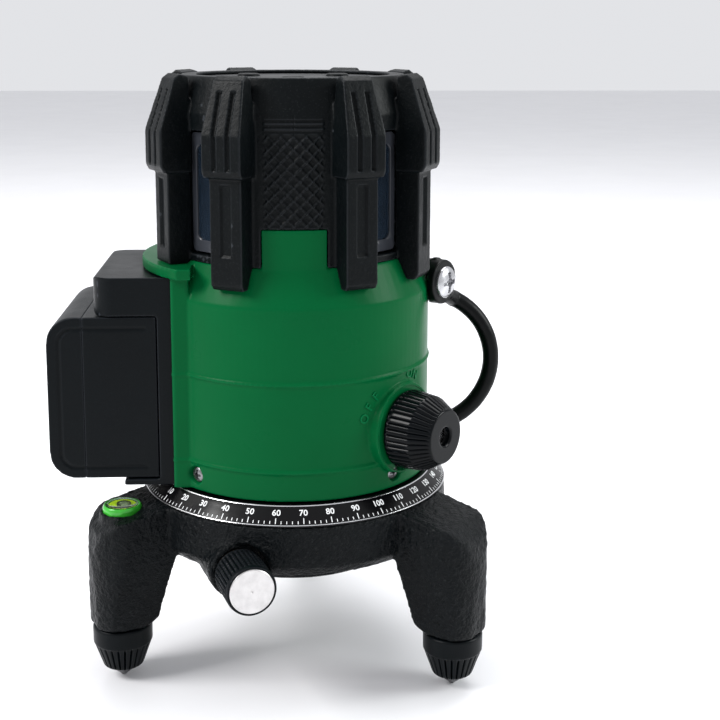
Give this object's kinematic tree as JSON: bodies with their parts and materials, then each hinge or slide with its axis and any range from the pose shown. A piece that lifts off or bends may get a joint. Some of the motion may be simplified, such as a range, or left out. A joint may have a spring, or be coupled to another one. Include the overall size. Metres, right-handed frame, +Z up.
{
  "type": "cross-line laser level on rotating tripod base",
  "caption": "Self-levelling cross-line laser level with a rubber crown, clip-on battery and locking knob, turning on a three-legged base with a fine adjustment knob.",
  "frame": {"origin": "mouth of the tripod thread on the underside of the base, on the spindle axis", "axes": "+Z up along the spindle, -Y front, the battery on the -X side"},
  "size_m": [0.157, 0.1458, 0.208],
  "materials": {
    "cast_black": "wrinkle paint",
    "green_plastic": "satin",
    "rubber": "matt",
    "black_plastic": "matt",
    "gloss_black": "glossy",
    "steel": "turned",
    "brass": "machined",
    "bronze": "sintered",
    "aluminium": "machined",
    "black_anodised": "gloss anodised",
    "glass": "polished",
    "vial_fluid": "clear",
    "acrylic": "clear",
    "copper": "bare",
    "circuit": "solder mask",
    "grey_plastic": "glossy",
    "spring_steel": "bright",
    "fibre": "matt",
    "magnet": "nickel",
    "cell": "wrapped",
    "contact_gold": "plated",
    "lamp": "clear"
  },
  "bodies": {
    "base": {"tripod_base": "cast_black", "thread_insert": "brass", "spindle": "steel", "spindle_screws": "steel", "spindle_nut": "steel", "wave_washer": "spring_steel", "dial_ring": "black_anodised", "worm_bushes": "bronze", "vial_cup": "acrylic", "vial_liquid": "vial_fluid", "vial_lens": "acrylic"},
    "fine_drive": {"worm_shaft": "steel", "fine_knob": "black_plastic", "fine_knob_cap": "aluminium"},
    "turntable": {"worm_wheel": "brass", "friction_washer": "fibre"},
    "head": {"main_housing": "green_plastic", "housing_floor": "black_plastic", "swivel_hub": "steel", "head_screws": "steel", "crown_core": "black_plastic", "crown_cover": "rubber", "window_frames": "grey_plastic", "window_glass": "glass", "top_panel": "black_plastic", "status_lamps": "lamp", "circuit_board": "circuit", "lock_springs": "spring_steel", "chassis_pillars": "aluminium", "gimbal_carrier": "aluminium", "damper_plate": "copper", "tether_screw": "steel", "tether_strap": "rubber", "charging_jack": "black_plastic", "battery_mount": "black_plastic", "mount_contacts": "contact_gold"},
    "lock": {"lock_knob": "gloss_black", "lock_shaft": "steel"},
    "lock_clamp": {"lock_ring": "aluminium"},
    "gimbal": {"gimbal_ring": "aluminium", "gimbal_outer_pins": "steel"},
    "pendulum": {"pendulum_frame": "aluminium", "pendulum_weight": "brass", "gimbal_inner_pins": "steel", "laser_modules": "brass", "damper_magnets": "magnet"},
    "plug": {"port_plug": "rubber"},
    "battery": {"battery_case": "black_plastic", "battery_cover": "black_plastic", "battery_cells": "cell"},
    "battery_catch": {"battery_release": "black_plastic"},
    "key_1": {"key_horizontal": "rubber"},
    "key_2": {"key_vertical": "rubber"},
    "key_3": {"key_receiver": "rubber"},
    "foot_pin_left": {"foot_pin_left": "steel"},
    "foot_knob_left": {"foot_knob_left": "black_plastic"},
    "foot_pin_right": {"foot_pin_right": "steel"},
    "foot_knob_right": {"foot_knob_right": "black_plastic"},
    "foot_pin_rear": {"foot_pin_rear": "steel"},
    "foot_knob_rear": {"foot_knob_rear": "black_plastic"}
  },
  "joints": [
    {"name": "turntable_turn", "type": "hinge", "parent": "base", "child": "turntable", "pos_m": [0, 0, 0.013], "axis": [0, 0, 1], "continuous": true},
    {"name": "fine_knob_turn", "type": "hinge", "parent": "base", "child": "fine_drive", "pos_m": [-0.03156, -0.00965, 0.01], "axis": [0.2924, -0.9563, 0], "continuous": true},
    {"name": "head_swivel", "type": "hinge", "parent": "turntable", "child": "head", "pos_m": [0, 0, 0.027], "axis": [0, 0, 1], "continuous": true},
    {"name": "lock_turn", "type": "hinge", "parent": "head", "child": "lock", "pos_m": [0.03802, -0.03247, 0.0523], "axis": [0.7604, -0.6494, 0], "range_deg": [0, 90]},
    {"name": "lock_clamp_drop", "type": "slide", "parent": "head", "child": "lock_clamp", "axis": [0, 0, -1], "range_m": [0, 0.0022], "deforming": ["lock_springs"]},
    {"name": "gimbal_roll", "type": "hinge", "parent": "head", "child": "gimbal", "pos_m": [0, 0, 0.103], "axis": [1, 0, 0], "range_deg": [-3.5, 3.5]},
    {"name": "pendulum_pitch", "type": "hinge", "parent": "gimbal", "child": "pendulum", "pos_m": [0, 0, 0.103], "axis": [0, 1, 0], "range_deg": [-3.5, 3.5]},
    {"name": "port_plug_pull", "type": "slide", "parent": "head", "child": "plug", "axis": [0.9945, 0.1045, 0], "range_m": [0, 0.012], "deforming": ["tether_strap"]},
    {"name": "battery_slide", "type": "slide", "parent": "head", "child": "battery", "axis": [-1, 0, 0], "range_m": [0, 0.035]},
    {"name": "battery_catch_press", "type": "slide", "parent": "battery", "child": "battery_catch", "axis": [0, 0, 1], "range_m": [0, 0.0015], "stiffness_N_per_m": 400, "springref_m": -0.002},
    {"name": "key_horizontal_press", "type": "slide", "parent": "head", "child": "key_1", "axis": [0, 0, -1], "range_m": [0, 0.0006], "stiffness_N_per_m": 800, "springref_m": -0.001},
    {"name": "key_vertical_press", "type": "slide", "parent": "head", "child": "key_2", "axis": [0, 0, -1], "range_m": [0, 0.0006], "stiffness_N_per_m": 800, "springref_m": -0.001},
    {"name": "key_receiver_press", "type": "slide", "parent": "head", "child": "key_3", "axis": [0, 0, -1], "range_m": [0, 0.0006], "stiffness_N_per_m": 800, "springref_m": -0.001},
    {"name": "foot_left_extend", "type": "slide", "parent": "base", "child": "foot_pin_left", "axis": [0, 0, -1], "range_m": [0, 0.009]},
    {"name": "foot_left_turn", "type": "hinge", "parent": "foot_pin_left", "child": "foot_knob_left", "pos_m": [-0.06029, -0.02685, -0.025], "axis": [0, 0, -1], "range_deg": [0, 2594]},
    {"name": "foot_right_extend", "type": "slide", "parent": "base", "child": "foot_pin_right", "axis": [0, 0, -1], "range_m": [0, 0.009]},
    {"name": "foot_right_turn", "type": "hinge", "parent": "foot_pin_right", "child": "foot_knob_right", "pos_m": [0.05339, -0.03879, -0.025], "axis": [0, 0, -1], "range_deg": [0, 2594]},
    {"name": "foot_rear_extend", "type": "slide", "parent": "base", "child": "foot_pin_rear", "axis": [0, 0, -1], "range_m": [0, 0.009]},
    {"name": "foot_rear_turn", "type": "hinge", "parent": "foot_pin_rear", "child": "foot_knob_rear", "pos_m": [0.0069, 0.06564, -0.025], "axis": [0, 0, -1], "range_deg": [0, 2594]}
  ],
  "couplings": [
    {"joint": "fine_knob_turn", "follows": "turntable_turn", "ratio": -44},
    {"joint": "lock_clamp_drop", "follows": "lock_turn", "m_per_rad": 0.0012096},
    {"joint": "foot_left_turn", "follows": "foot_left_extend", "rad_per_m": 5026.5},
    {"joint": "foot_right_turn", "follows": "foot_right_extend", "rad_per_m": 5026.5},
    {"joint": "foot_rear_turn", "follows": "foot_rear_extend", "rad_per_m": 5026.5}
  ]
}
